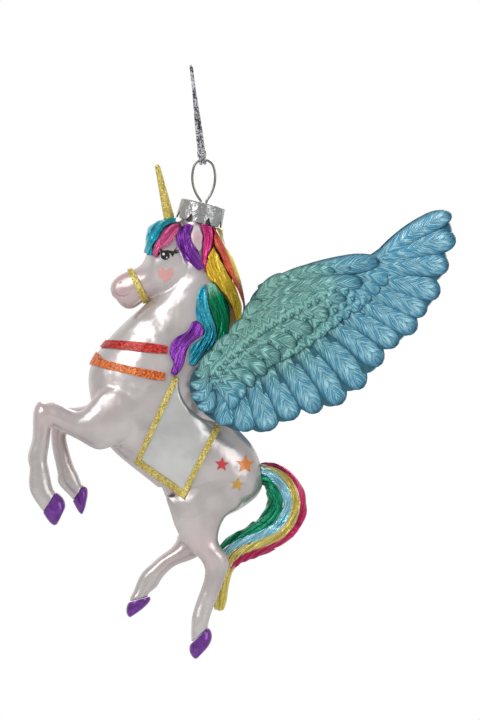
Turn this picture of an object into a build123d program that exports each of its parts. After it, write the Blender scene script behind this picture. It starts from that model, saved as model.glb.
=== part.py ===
"""A hanging glass ornament in the shape of a rearing winged unicorn.

A hollow glass body with a pipe at the poll carries four drawn glass legs with lacquered hooves, a horn,
ears, lacquered locks of mane, applied trims, two cast wings and a tail in four locks.
A stamped crown cap closes the pipe, a sprung wire hanger stands in the cap, and a doubled cord carries it.

The row frame has its origin where a hook carries the cord: +Z is up along the hanging cord,
the unicorn faces -X, and its left side faces -Y.
Lengths are millimetres and angles are degrees.
The shapes of the figure are read from its side view in picture pixels, x to the right and y down.
Each member of the figure turns its own pixels into its own real sizes.
"""

import os
from math import asin, atan2, cos, degrees, radians, sin, sqrt, tan

from build123d import *

os.makedirs("parts", exist_ok=True)

# The cord
cord_diameter = 1.0
cord_route = [
    (-0.55, 0.0, -23.4),
    (-0.55, 0.0, -17.0),
    (0.0, -2.05, -6.5),
    (0.0, -2.05, 0.5),
    (0.0, 2.05, 0.5),
    (0.0, 2.05, -6.5),
    (0.55, 0.0, -17.0),
    (0.55, 0.0, -23.4),
]
hook_diameter = 3.0
hitch_clearance = 0.1
hitch_strand_spacing = 1.1
hitch_collar_width = 2.5
hitch_collar_depth = 1.7
hitch_collar_height = 1.5

# The wire hanger
wire_diameter = 0.7
ring_top_radius = 2.9
ring_side_radius = 10.0
ring_width = 7.1
ring_foot_gap = 2.0
hanger_bend_radius = 0.9
hanger_stem_length = 1.6
hanger_leg_length = 7.0
hanger_leg_splay = 8.0

# The crown cap
cap_width = 12.6
cap_height = 5.6
cap_wall = 0.4
cap_flare = 0.3
cap_edge_radius = 0.5
cap_tilt = 13.5
cap_petal_count = 8
cap_notch_depth = 2.0
cap_notch_width = 2.4
cap_hole_clearance = 0.15

# The glass pipe and walls
figure_lean = 6.9
pipe_diameter = 9.4
pipe_wall = 1.0
pipe_height = 5.2
pipe_gap = 0.3
pipe_lip_diameter = 10.2
pipe_lip_height = 0.9
glass_wall = 1.0
leg_wall = 0.9

# The members of the figure
body_length = 48.7
body_height = 80.6
body_width = 21.3
head_length = 26.5
head_height = 24.1
head_width = 13.7
front_leg_reach = 31.6
front_leg_drop = 36.0
front_leg_thickness = 7.0
hind_leg_reach = 28.3
hind_leg_drop = 42.0
hind_leg_thickness = 7.8
hoof_length = 9.0
hoof_width = 4.8
horn_length = 16.0
horn_base_diameter = 3.2
horn_tip_diameter = 1.5
horn_lean = 12.8
horn_root = 2.5

# The locks and trims that lie on the glass
lock_thickness = 1.3
crest_thickness = 1.9
ear_thickness = 2.0
trim_thickness = 0.6
blanket_thickness = 0.3

# The cast wings and tail
wing_length = 74.5
wing_height = 59.4
wing_spread = 14.0
wing_offset = 9.9
wing_pad_thickness = 3.0
wing_seat_width = 18.2
feather_thickness = 1.6
covert_thickness = 0.7
tail_length = 30.5
tail_height = 41.5
tail_width = 8.4

# One overrun serves every cut that has to leave its solid
overrun = 6.0

# Spans of the members in the side view, in pixels along x, y and the depth
body_span_pixels = (174, 288, 76)
head_span_pixels = (94.6, 86, 49)
front_leg_span_pixels = (113, 128.6, 25)
hind_leg_span_pixels = (101, 150, 27.9)
hoof_span_pixels = (32.1, 32.1, 17.1)
wing_span_pixels = (258, 212, 76)
tail_span_pixels = (109, 148, 30)

# Anchors of the members in the side view, in pixels
pipe_anchor_pixels = (199.4, 222.4)
head_anchor_pixels = (190, 250)
near_front_anchor_pixels = (116, 415)
far_front_anchor_pixels = (108, 418)
near_hind_anchor_pixels = (204, 492)
far_hind_anchor_pixels = (204, 494)
wing_anchor_pixels = (212, 385)
tail_anchor_pixels = (262, 473)
horn_anchor_pixels = (170.6, 219)

# Ribs: the two ends of each in the side view, its half depth, and how far it stands to the near side
torso_rib_pixels = [
    (181.3, 218.0, 217.5, 226.7, 18.0),
    (179, 238, 220, 244, 20),
    (173, 262, 228, 266, 22.5),
    (160, 288, 233, 292, 24),
    (137, 311, 236, 318, 27),
    (109, 338, 238, 346, 32),
    (92.5, 362, 236, 374, 36.5),
    (90.5, 392, 233, 402, 38),
    (99, 427, 238, 427, 38),
    (120, 455, 253, 444, 37),
    (143, 473.5, 262, 464, 35),
    (160, 487, 263.5, 484, 31),
    (177, 500, 253, 500, 25),
    (191, 510, 238, 511, 17),
    (206, 516, 224, 516, 7),
]
head_rib_pixels = [
    (188, 223, 207, 262, 16),
    (168, 221.5, 195, 275, 21.5),
    (152, 230, 186, 289, 24.3),
    (148.2, 246, 170, 295.5, 22.5),
    (143.5, 261.5, 155, 297, 17.5),
    (134.5, 268, 144, 301, 14),
    (125, 271.5, 136, 306.5, 12),
    (117, 276.5, 127.5, 307.5, 10.5),
    (112.3, 282.5, 119.5, 301.5, 7.5),
    (111, 288, 113.8, 296, 3),
]
near_front_rib_pixels = [
    (142.0, 402, 142.4, 411, 4.4, 27),
    (136, 391, 138, 424, 12, 25),
    (124, 384.5, 127, 438, 14, 24),
    (108, 385.5, 110, 446.5, 14, 22),
    (95, 396, 98, 448, 13, 21),
    (82, 409, 84, 441, 12, 20),
    (67, 405.5, 68.5, 433, 11.5, 20),
    (54, 401, 57.5, 427, 11.3, 20),
    (41, 399.5, 53.8, 425.8, 11.3, 20),
    (35.3, 408, 52.3, 427.5, 10.6, 20),
    (34, 423, 51.8, 431.5, 9.4, 20),
    (32.4, 442, 50.5, 443.5, 8.7, 20),
    (30.5, 464, 48.8, 462, 8.6, 20),
    (30, 482, 52, 477.5, 9, 20),
    (32.5, 492, 53.5, 484.5, 8.8, 20),
    (38.5, 502, 55, 488.2, 8.4, 20),
    (45, 511, 57.5, 491.5, 8.4, 20),
]
near_front_hoof_pixels = [
    (44.6, 511.4, 57.6, 491.2, 9.0, 20),
    (50, 519.5, 63, 495, 9.8, 20),
    (55.2, 523.6, 66.3, 501.5, 9, 20),
    (60, 519.8, 65.2, 509, 5, 20),
]
far_front_rib_pixels = [
    (128, 392, 132, 436, 12, -22),
    (110, 392, 112, 441, 13, -21),
    (94, 400, 97, 442, 12, -20),
    (80, 406, 83, 438.5, 11.5, -20),
    (67, 407, 71.5, 434.5, 11, -20),
    (56, 412, 67.5, 433, 10.5, -20),
    (51.3, 424, 66.3, 434.2, 8.6, -20),
    (51.2, 437, 67, 438.5, 7.8, -20),
    (54, 455, 70.6, 454, 7.8, -20),
    (58, 474, 77.3, 471, 8.2, -20),
    (62, 487, 80.5, 479, 8.2, -20),
    (68, 493, 82, 482.2, 8, -20),
    (73.7, 500, 84.6, 485, 8, -20),
]
far_front_hoof_pixels = [
    (73.3, 500.4, 84.8, 484.7, 8.6, -20),
    (77.4, 508.3, 88.4, 490.5, 8.8, -20),
    (81.5, 513.3, 87.3, 500, 6.8, -20),
    (83.6, 512, 86, 506.4, 2.8, -20),
]
near_hind_rib_pixels = [
    (176, 474, 246, 478, 14, 12),
    (166.5, 494, 244, 500, 18.5, 15),
    (170.5, 510, 230, 513, 17.5, 16),
    (175.5, 525, 221.3, 525.5, 15.5, 17),
    (182, 539, 219, 537.5, 13.5, 17),
    (191.5, 549.5, 222, 545.5, 12, 17),
    (200, 556.5, 228, 553, 11.3, 17),
    (205, 564.5, 230, 561.5, 10.5, 17),
    (205.5, 575, 226.8, 574, 9.5, 17),
    (201, 590, 220.5, 590.5, 8.8, 17),
    (195.6, 605, 214.6, 605.5, 8.4, 17),
    (192.6, 618, 210.6, 617.5, 8.2, 17),
    (192, 631, 209.2, 623.5, 8, 17),
    (192, 641.3, 209.2, 626.6, 8, 17),
]
near_hind_hoof_pixels = [
    (191.4, 642.6, 209.6, 626.2, 8.6, 17),
    (191, 650.5, 213, 634, 9.4, 17),
    (195.4, 656.7, 210.5, 643, 8, 17),
    (199.5, 654.8, 205.5, 648.6, 3, 17),
]
far_hind_rib_pixels = [
    (180, 480, 242, 480, 13, -12),
    (171, 498, 240, 502, 17, -16),
    (172.5, 514, 226, 518, 16, -17),
    (176, 528, 212, 534, 14, -18),
    (177.5, 539, 203, 552, 12, -18),
    (171.5, 547.5, 191.5, 559.5, 10.6, -18),
    (161, 555.2, 178.5, 564, 9.4, -18),
    (150.5, 564.5, 168.8, 571, 9, -18),
    (142, 573, 162, 579, 9, -18),
    (137, 583.3, 158.5, 585, 8.6, -18),
    (133.5, 592, 152.5, 590.6, 8.2, -18),
    (129.7, 601.2, 150, 595.8, 8, -18),
]
far_hind_hoof_pixels = [
    (129.2, 602, 150.5, 596, 8.6, -18),
    (127, 610, 150.6, 600.6, 9, -18),
    (129.3, 616, 145, 607, 7.2, -18),
    (132.6, 615.2, 138.2, 612, 2.6, -18),
]
tail_rib_pixels = [
    (258, 463, 259, 482, 8.5, 0),
    (266.5, 461.5, 264.5, 484.5, 9.4, 0),
    (279, 463, 267, 491, 12, 0),
    (291.5, 470, 268.2, 497, 14, 0),
    (302, 483, 267.3, 503, 15, 0),
    (307.8, 501, 263.5, 511.5, 15, 0),
    (304.5, 521, 256, 520, 15, 0),
    (291, 540, 245.5, 527, 14, 0),
    (270, 551.5, 233.5, 532.5, 11.5, -3),
    (250, 559, 223.5, 541, 9, -5),
    (236.5, 567, 215, 554, 7.4, -5.5),
    (230.5, 580, 209, 571, 6.6, -5.5),
    (229, 594, 210, 590, 5, -5.5),
    (226.5, 605, 214, 602.5, 3.5, -5.5),
    (221.5, 610, 216, 608.4, 1.6, -5.5),
]

# The ribs at which a strongly bent member starts a new stretch
near_front_bends = (8, 12)
far_front_bends = (6, 9)
tail_bends = (3, 6)

# Borders of the tail's locks, from its outer edge to its inner edge
tail_border_pixels = [
    [(250, 452), (285, 452), (318, 485), (314, 525), (285, 562), (246, 576), (240, 600), (228, 620)],
    [(250, 464.8), (272, 465.2), (292, 478), (301, 503), (295, 524), (272, 543), (240, 556), (226, 576), (224, 620)],
    [(250, 467.4), (271, 468.4), (287, 482), (293, 504), (286, 522), (264, 537), (234, 550), (219, 570), (217, 620)],
    [(250, 473.6), (268, 475.4), (280, 489), (284, 505), (277, 519), (257, 531), (228, 545), (212, 566), (212, 620)],
    [(250, 492), (258, 494), (260, 503), (254, 510), (242, 517), (224, 526), (208, 540), (198, 560), (204, 620)],
]

# Outlines of what lies on the glass, in pixels
forelock_blue_pixels = [
    (176, 216),
    (176.5, 220.3),
    (168, 223.8),
    (162, 230),
    (157.5, 239),
    (153, 246),
    (152, 254.4),
    (150, 254),
    (144, 250),
    (143, 236),
    (150, 222),
    (162, 216),
]
forelock_pink_pixels = [
    (181, 223),
    (180.5, 228),
    (177, 234.5),
    (172, 241.5),
    (166, 245),
    (160, 249),
    (156.6, 256),
    (154.8, 255),
    (155, 247),
    (158.5, 240),
    (163.2, 231.5),
    (169.5, 225.5),
    (175, 223.2),
]
temple_violet_pixels = [
    (184, 224.6),
    (190, 223.2),
    (193.6, 225),
    (191, 231.5),
    (191, 238),
    (195, 245.2),
    (200, 251.4),
    (201.8, 258),
    (203.4, 268),
    (199.5, 268.8),
    (193, 264),
    (186, 257),
    (181, 250),
    (178, 241),
    (178.4, 233.5),
    (180.6, 228.4),
]
ear_pixels = [
    (193.2, 231),
    (192.5, 237),
    (195.8, 243.8),
    (200.8, 250),
    (202.6, 246.5),
    (202.8, 240.6),
    (203.6, 236),
    (201.6, 230),
    (198.4, 224.6),
    (195.2, 225.6),
]
crest_magenta_pixels = [
    (200.6, 222.6),
    (203.4, 230),
    (205.2, 238),
    (204.3, 248),
    (203.2, 256),
    (204.6, 264),
    (206.8, 271.4),
    (207.2, 262),
    (209.8, 252),
    (213.4, 244.4),
    (214.2, 235),
    (212, 225),
    (206, 221.6),
]
crest_gold_pixels = [
    (213.6, 247.8),
    (210.6, 253),
    (208, 262),
    (207.6, 270.5),
    (210.4, 277.6),
    (217, 282.6),
    (223.6, 291),
    (229.4, 300.5),
    (232.6, 312),
    (233.4, 324),
    (233, 337.6),
    (237.5, 335.5),
    (239, 325),
    (238.6, 314),
    (238.6, 304),
    (236.4, 295),
    (232.4, 284),
    (227.6, 273),
    (223.6, 262.6),
    (218.8, 254),
]
crest_orange_pixels = [
    (214, 226.5),
    (215.6, 235.5),
    (215.8, 244.4),
    (220.8, 251.8),
    (224.4, 262.2),
    (228.4, 272.6),
    (233.2, 283.6),
    (237.2, 294.6),
    (239.4, 303.6),
    (239.4, 314),
    (239.8, 325),
    (240.5, 333),
    (250, 331),
    (252, 300),
    (246, 290),
    (240.4, 278),
    (235.2, 267),
    (231.4, 256.6),
    (226, 246),
    (219.4, 233.6),
]
crest_rim_pixels = [
    (216.4, 226),
    (220.4, 233.8),
    (227, 245.6),
    (232.4, 256.2),
    (236.2, 266.6),
    (241, 277),
    (250, 284),
    (254, 262),
    (240, 236),
    (226, 222),
]
neck_teal_pixels = [
    (205, 284.2),
    (202, 287.6),
    (198.8, 295),
    (197.2, 303),
    (197, 311),
    (199.2, 318.6),
    (204, 324.6),
    (206.2, 331),
    (203.6, 336.6),
    (197, 341),
    (192, 347),
    (191, 356),
    (192.4, 364),
    (198.6, 361.6),
    (203, 355),
    (209, 348.8),
    (215, 342),
    (217.6, 335),
    (216.8, 326),
    (213.8, 315.6),
    (210, 305),
    (207.4, 294.6),
]
neck_green_pixels = [
    (209.4, 283.6),
    (209.4, 294),
    (210.8, 304.6),
    (214.7, 315.2),
    (217.7, 325.6),
    (218.5, 335.2),
    (216, 342.4),
    (210, 349.4),
    (204.4, 355.2),
    (203.2, 358.6),
    (211, 355),
    (219, 350),
    (227, 343.6),
    (229, 336.4),
    (231, 324),
    (231, 312.4),
    (228.4, 301),
    (222.8, 291.8),
    (216.6, 284.4),
    (211.4, 281),
]
neck_violet_pixels = [
    (197.4, 320),
    (194, 320.6),
    (190.6, 326.6),
    (184, 332.8),
    (175.4, 338),
    (171.2, 345),
    (171.6, 354),
    (174.6, 363),
    (172.4, 370.6),
    (175.6, 374),
    (180, 371.6),
    (184, 364.6),
    (187, 355),
    (190, 346.2),
    (195.6, 340),
    (202.4, 335.2),
    (204.8, 331),
    (202.8, 326),
]
strap_red_top_pixels = [(84, 338), (108, 338.8), (130, 339.8), (150, 341.8), (168.6, 344.6)]
strap_red_bottom_pixels = [(84, 346), (108, 346.2), (130, 348.6), (150, 351), (168.6, 352.2)]
strap_orange_top_pixels = [(84, 347.6), (96, 349), (103, 357), (115, 361), (135, 365.6), (166.4, 371.4)]
strap_orange_bottom_pixels = [(84, 362.6), (97, 364.6), (112, 368.6), (132, 373), (150, 377.4), (166.4, 378.8)]
noseband_pixels = [(125.6, 264), (130.8, 262), (150, 299.4), (144.6, 303)]
blanket_pixels = [
    (178.6, 381),
    (140.8, 461.2),
    (181.4, 489.6),
    (215.2, 425.8),
    (203, 418.6),
    (191.6, 410.6),
    (184, 400.6),
    (180, 391),
]
saddle_trim_pixels = [
    (174.4, 375.4),
    (179.2, 377.6),
    (140, 461),
    (181.6, 490.6),
    (216.4, 424.6),
    (221.2, 427),
    (184.2, 499.4),
    (133.8, 464),
]

# The wing's leading edge, the notches and bulges of its feather tips, and its trailing edge at the root
wing_leading_pixels = [
    (192, 385),
    (196, 370),
    (215, 354),
    (240, 335),
    (249, 322),
    (252, 300),
    (270, 281),
    (293, 272),
    (327, 268),
    (360, 262),
    (392, 250),
    (420, 233),
    (443, 217),
]
wing_tip_pixels = [
    (443, 217, 450.5, 233, 443, 250),
    (443, 250, 444.6, 267, 435, 281),
    (435, 281, 431, 301, 413, 314),
    (413, 314, 402, 337, 376, 348),
    (376, 348, 378, 363, 362, 372),
    (362, 372, 358.5, 386, 343, 388),
    (343, 388, 340, 401.5, 324, 402.5),
    (324, 402.5, 313, 410, 299, 404),
    (299, 404, 290, 419, 276, 417.5),
    (276, 417.5, 268, 429.5, 255, 428),
    (255, 428, 242, 429.5, 228, 424),
]
wing_root_pixels = [(228, 424), (208, 413), (196, 398), (192, 385)]
covert_leading_pixels = [
    (203, 386),
    (206, 371),
    (222, 357),
    (246, 339),
    (256, 325),
    (260, 304),
    (276, 288),
    (300, 280),
    (330, 275),
    (362, 269),
    (394, 256),
    (412, 246),
]
covert_tip_pixels = [
    (412, 246, 409, 265, 394, 274),
    (394, 274, 389, 292, 372, 298),
    (372, 298, 365, 316, 346, 320),
    (346, 320, 340, 338, 322, 342),
    (322, 342, 315, 359, 298, 362),
    (298, 362, 290, 379, 272, 381),
    (272, 381, 262, 396, 246, 396),
    (246, 396, 234, 409, 218, 404),
]
covert_root_pixels = [(218, 404), (208, 397), (203, 386)]
wing_pad_pixels = [(192, 384), (197, 369), (214, 354), (233, 350), (240, 366), (238, 390), (228, 410), (206, 408)]


# Outline of the raised glass seat that each wing is fixed to
wing_seat_pixels = [
    (186, 374),
    (182, 386),
    (186, 399),
    (195, 410),
    (207, 418),
    (220, 421),
    (231, 414),
    (236, 400),
    (236, 384),
    (231, 368),
    (218, 360),
    (201, 362),
]


class Member:
    """A member of the figure: turns its side view's pixels into figure-plane millimetres at its size."""

    def __init__(self, anchor_pixels, anchor, span_pixels, sizes):
        self.anchor_pixels = anchor_pixels
        self.anchor = anchor
        self.scales = [size / span for size, span in zip(sizes, span_pixels)]

    def at(self, x, y):
        """The point of the figure plane at a place of the side view."""
        right = self.anchor[0] + (x - self.anchor_pixels[0]) * self.scales[0]
        up = self.anchor[1] - (y - self.anchor_pixels[1]) * self.scales[1]
        return right, up

    def points(self, outline):
        """The figure-plane points of an outline."""
        return [self.at(x, y) for x, y in outline]

    def across(self, depth):
        """A depth of the side view in millimetres."""
        return depth * self.scales[2]


def figure_point(right, up, near=0.0):
    """A row-frame point from figure-plane coordinates, near being towards the figure's left side."""
    return figure_plane.from_local_coords((right, up, near))


def ribbed_loft(member, ribs, growth=0.0, mode=Mode.ADD, bends=()):
    """Lofts ellipses through a member's ribs, each grown all round, in stretches that meet at its bends."""
    sections = []
    for rib in ribs:
        near = body.across(rib[5]) if len(rib) > 5 else 0.0
        first = figure_point(*member.at(rib[0], rib[1]), near)
        last = figure_point(*member.at(rib[2], rib[3]), near)
        along = first - last
        plane = Plane(origin=(first + last) / 2, x_dir=along, z_dir=along.cross(figure_plane.z_dir))
        with BuildSketch(plane) as section:
            Ellipse(along.length / 2 + growth, member.across(rib[4]) + growth)
        sections.append(section.sketch)
    for start, end in zip((0, *bends), (*bends, len(ribs) - 1)):
        loft(sections[start : end + 1], mode=mode)


def side_prism(member, outline, mode=Mode.INTERSECT, straight=False):
    """Keeps or cuts what lies inside an outline of the side view, right through the figure."""
    with BuildSketch(figure_plane) as profile:
        with BuildLine():
            if straight:
                Polyline(*member.points(outline), close=True)
            else:
                Spline(*member.points(outline), periodic=True)
        make_face()
    extrude(profile.sketch, amount=body_width, both=True, mode=mode)


def side_band(member, first_edge, second_edge, mode=Mode.INTERSECT):
    """Keeps or cuts the band between two edges of the side view, right through the figure."""
    first_points = member.points(first_edge)
    second_points = member.points(second_edge)
    with BuildSketch(figure_plane) as profile:
        with BuildLine():
            Spline(*first_points)
            Line(first_points[-1], second_points[-1])
            Spline(*second_points)
            Line(second_points[0], first_points[0])
        make_face()
    extrude(profile.sketch, amount=body_width, both=True, mode=mode)


def turned_loop(route, hook_radius):
    """The radius of each corner of a cord's route, the corners at the hook taking the hook's size."""
    points = [Vector(*place) for place in route]
    radii = []
    for before, corner, after in zip(points, points[1:], points[2:]):
        turn = (corner - before).get_angle(after - corner)
        shorter = min((corner - before).length, (after - corner).length)
        radius = 0.45 * shorter / tan(radians(turn) / 2)
        radii.append(hook_radius if turn > 45 else radius)
    return radii


# The ring hangs in the cord's hitch, just under the route's ends, and turns about its top arc's centre
hitch_wrap_radius = (wire_diameter + cord_diameter) / 2 + hitch_clearance
hitch_top = cord_route[0][2]
ring_top = hitch_top - hitch_collar_height - hitch_wrap_radius
pivot = Vector(0, 0, ring_top - ring_top_radius)
figure_right = Vector(cos(radians(figure_lean)), 0, -sin(radians(figure_lean)))
figure_plane = Plane(origin=pivot, x_dir=figure_right, z_dir=(0, -1, 0))

with BuildPart() as cord_loop:
    loop_radii = turned_loop(cord_route, (hook_diameter + cord_diameter) / 2)
    with BuildLine() as loop_line:
        FilletPolyline(*cord_route, radius=loop_radii)
    with BuildSketch(Plane(origin=loop_line.line @ 0, z_dir=loop_line.line % 0)):
        Circle(cord_diameter / 2)
    sweep()

with BuildPart() as cord_hitch:
    for side in (-1, 1):
        with Locations((side * hitch_strand_spacing / 2, 0, ring_top)):
            Torus(hitch_wrap_radius, cord_diameter / 2, rotation=(0, 90, 0))
    with BuildSketch(Plane.XY.offset(hitch_top - hitch_collar_height)):
        Ellipse(hitch_collar_width / 2, hitch_collar_depth / 2)
    extrude(amount=hitch_collar_height)

# The ring's side arcs touch its top arc from outside, and end where its two feet are a gap apart
side_centre_right = ring_side_radius - (ring_width - wire_diameter) / 2
side_centre_reach = ring_side_radius - ring_top_radius
side_centre_drop = sqrt(side_centre_reach**2 - side_centre_right**2)
top_arc_angle = degrees(atan2(side_centre_right, side_centre_drop))
foot_angle = 90 - degrees(asin((side_centre_right + ring_foot_gap / 2) / ring_side_radius))
side_arc_angle = degrees(asin(side_centre_drop / side_centre_reach)) + foot_angle


def hanger_half(side):
    """Draws one half of the hanger, from the ring's top down to its sprung foot; side is -1 or 1."""
    top = JernArc((0, ring_top_radius), (side, 0), ring_top_radius, -side * top_arc_angle)
    flank = JernArc(top @ 1, top % 1, ring_side_radius, -side * side_arc_angle)
    heading = 90 - side * (90 + top_arc_angle + side_arc_angle)
    stem_turn = (-90 - cap_tilt - heading + 180) % 360 - 180
    bend = JernArc(flank @ 1, flank % 1, hanger_bend_radius, stem_turn)
    stem = Line(bend @ 1, bend @ 1 + (bend % 1) * hanger_stem_length)
    knee = JernArc(stem @ 1, stem % 1, hanger_bend_radius, side * hanger_leg_splay)
    Line(knee @ 1, knee @ 1 + (knee % 1) * hanger_leg_length)
    return stem @ 0


with BuildPart() as wire_hanger:
    stem_tops = []
    for side in (-1, 1):
        with BuildLine(figure_plane) as half_line:
            stem_tops.append(hanger_half(side))
        with BuildSketch(Plane(origin=half_line.line @ 0, z_dir=half_line.line % 0)):
            Circle(wire_diameter / 2)
        sweep()

# The cap lies across the two stems, its top face just under the bends
cap_up = figure_point(sin(radians(cap_tilt)), cos(radians(cap_tilt))) - pivot
cap_right = figure_point(cos(radians(cap_tilt)), -sin(radians(cap_tilt))) - pivot
stem_middle = (stem_tops[0] + stem_tops[1]) / 2
stem_drop = max((stem_middle - top).dot(cap_up) for top in stem_tops)
cap_plane = Plane(origin=stem_middle - cap_up * stem_drop, x_dir=cap_right, z_dir=cap_up)
stem_places = [cap_plane.to_local_coords(top).X for top in stem_tops]

with BuildPart() as crown_cap:
    for level, spread in ((0, 0), (cap_height, cap_flare)):
        with BuildSketch(cap_plane.offset(-level)):
            Circle(cap_width / 2 + spread)
    loft(ruled=True)
    cap_axis = Axis(cap_plane.origin, cap_plane.z_dir)
    fillet(crown_cap.edges().sort_by(cap_axis)[-1], cap_edge_radius)
    for level, spread in ((cap_wall, 0), (cap_height, cap_flare)):
        with BuildSketch(cap_plane.offset(-level)):
            Circle(cap_width / 2 + spread - cap_wall)
    loft(ruled=True, mode=Mode.SUBTRACT)
    cap_rim_centre = cap_plane.origin - cap_up * cap_height
    for petal in range(cap_petal_count):
        facing = cap_plane.x_dir.rotate(cap_axis, 360 * (petal + 0.5) / cap_petal_count)
        with BuildSketch(Plane(origin=cap_rim_centre, x_dir=facing.cross(cap_up), z_dir=facing)):
            with BuildLine():
                Polyline(
                    (-cap_notch_width / 2, 0),
                    (0, -cap_notch_depth),
                    (cap_notch_width / 2, 0),
                    close=True,
                )
            make_face()
        extrude(amount=cap_width, mode=Mode.SUBTRACT)
    with BuildSketch(cap_plane.offset(overrun)):
        with Locations(*[(place, 0) for place in stem_places]):
            Circle(wire_diameter / 2 + cap_hole_clearance)
    extrude(amount=-overrun - cap_height, mode=Mode.SUBTRACT)

# The glass body hangs under the cap by its pipe, whose root is the body's first rib
pipe_plane = cap_plane.offset(-cap_wall - pipe_gap - pipe_height)
pipe_place = figure_plane.to_local_coords(pipe_plane.origin)
body_sizes = (body_length, body_height, body_width)
head_sizes = (head_length, head_height, head_width)
front_leg_sizes = (front_leg_reach, front_leg_drop, front_leg_thickness)
hind_leg_sizes = (hind_leg_reach, hind_leg_drop, hind_leg_thickness)
body = Member(pipe_anchor_pixels, (pipe_place.X, pipe_place.Y), body_span_pixels, body_sizes)


def body_member(anchor_pixels, span_pixels, sizes):
    """A member whose anchor lies on the body."""
    return Member(anchor_pixels, body.at(*anchor_pixels), span_pixels, sizes)


head = body_member(head_anchor_pixels, head_span_pixels, head_sizes)
near_front = body_member(near_front_anchor_pixels, front_leg_span_pixels, front_leg_sizes)
far_front = body_member(far_front_anchor_pixels, front_leg_span_pixels, front_leg_sizes)
near_hind = body_member(near_hind_anchor_pixels, hind_leg_span_pixels, hind_leg_sizes)
far_hind = body_member(far_hind_anchor_pixels, hind_leg_span_pixels, hind_leg_sizes)
tail = body_member(tail_anchor_pixels, tail_span_pixels, (tail_length, tail_height, tail_width))

with BuildPart() as glass_form:
    ribbed_loft(body, torso_rib_pixels)
    ribbed_loft(head, head_rib_pixels)
    with BuildSketch(figure_plane):
        with BuildLine():
            Spline(*body.points(wing_seat_pixels), periodic=True)
        make_face()
    extrude(amount=wing_seat_width / 2, both=True)
    with BuildSketch(pipe_plane):
        Circle(pipe_diameter / 2)
    extrude(amount=pipe_height)
    with BuildSketch(pipe_plane.offset(pipe_height - pipe_lip_height)):
        Circle(pipe_lip_diameter / 2)
    extrude(amount=pipe_lip_height)

with BuildPart() as glass_body:
    add(glass_form.part)
    ribbed_loft(body, torso_rib_pixels[:-1], -glass_wall, Mode.SUBTRACT)
    ribbed_loft(head, head_rib_pixels[:-2], -glass_wall, Mode.SUBTRACT)
    with BuildSketch(pipe_plane.offset(-pipe_wall)):
        Circle(pipe_diameter / 2 - pipe_wall)
    extrude(amount=pipe_height + pipe_wall, mode=Mode.SUBTRACT)


# The horn leans back from the forehead, and its root is fused to the glass
horn_place = head.at(*horn_anchor_pixels)
horn_way = figure_point(-sin(radians(horn_lean)), cos(radians(horn_lean))) - pivot
horn_plane = Plane(origin=figure_point(*horn_place), x_dir=(0, 1, 0), z_dir=horn_way)
with BuildPart() as horn:
    with BuildSketch(horn_plane.offset(-horn_root)):
        Circle(horn_base_diameter / 2)
    with BuildSketch(horn_plane):
        Circle(horn_base_diameter / 2)
    with BuildSketch(horn_plane.offset(horn_length - horn_tip_diameter / 2)):
        Circle(horn_tip_diameter / 2)
    loft(ruled=True)
    with Locations(horn_plane.offset(horn_length - horn_tip_diameter / 2)):
        Sphere(horn_tip_diameter / 2)
    add(glass_form.part, mode=Mode.SUBTRACT)


# Skins: the glass grown by the thickness of what is laid on it
body_skin = (body, torso_rib_pixels)
head_skin = (head, head_rib_pixels)


def laid_skin(thickness, *members):
    """The members of the glass grown by a thickness."""
    for member, ribs in members:
        ribbed_loft(member, ribs, thickness)


with BuildPart() as lock_skin:
    laid_skin(lock_thickness, body_skin, head_skin)

with BuildPart() as crest_skin:
    laid_skin(crest_thickness, body_skin)

with BuildPart() as ear_skin:
    laid_skin(ear_thickness, body_skin, head_skin)

with BuildPart() as trim_skin:
    laid_skin(trim_thickness, body_skin)

with BuildPart() as band_skin:
    laid_skin(trim_thickness, head_skin)

with BuildPart() as blanket_skin:
    laid_skin(blanket_thickness, body_skin)


def laid_piece(skin, outline, straight=False, clear_of=()):
    """What a skin leaves inside an outline of the side view, on the glass and clear of other members."""
    add(skin.part)
    side_prism(body, outline, straight=straight)
    for member, ribs in clear_of:
        ribbed_loft(member, ribs, mode=Mode.SUBTRACT)
    add(glass_form.part, mode=Mode.SUBTRACT)


with BuildPart() as forelock_blue:
    laid_piece(lock_skin, forelock_blue_pixels)
    add(horn.part, mode=Mode.SUBTRACT)

with BuildPart() as forelock_pink:
    laid_piece(lock_skin, forelock_pink_pixels)

with BuildPart() as temple_lock_violet:
    laid_piece(lock_skin, temple_violet_pixels)

with BuildPart() as ears:
    laid_piece(ear_skin, ear_pixels)

with BuildPart() as crest_lock_magenta:
    laid_piece(lock_skin, crest_magenta_pixels)

with BuildPart() as crest_lock_gold:
    laid_piece(crest_skin, crest_gold_pixels)

with BuildPart() as crest_lock_orange:
    laid_piece(crest_skin, crest_orange_pixels)

with BuildPart() as crest_lock_rim:
    laid_piece(crest_skin, crest_rim_pixels)

with BuildPart() as neck_lock_teal:
    laid_piece(lock_skin, neck_teal_pixels)

with BuildPart() as neck_lock_green:
    laid_piece(lock_skin, neck_green_pixels)

with BuildPart() as neck_lock_violet:
    laid_piece(lock_skin, neck_violet_pixels)

with BuildPart() as noseband:
    laid_piece(band_skin, noseband_pixels, straight=True)

with BuildPart() as chest_strap_red:
    add(trim_skin.part)
    side_band(body, strap_red_top_pixels, strap_red_bottom_pixels)
    add(glass_form.part, mode=Mode.SUBTRACT)

with BuildPart() as chest_strap_orange:
    add(trim_skin.part)
    side_band(body, strap_orange_top_pixels, strap_orange_bottom_pixels)
    add(glass_form.part, mode=Mode.SUBTRACT)

hind_legs = ((near_hind, near_hind_rib_pixels), (far_hind, far_hind_rib_pixels))

with BuildPart() as saddle_blanket:
    laid_piece(blanket_skin, blanket_pixels, True, hind_legs)

with BuildPart() as saddle_trim:
    laid_piece(trim_skin, saddle_trim_pixels, True, hind_legs)

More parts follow.
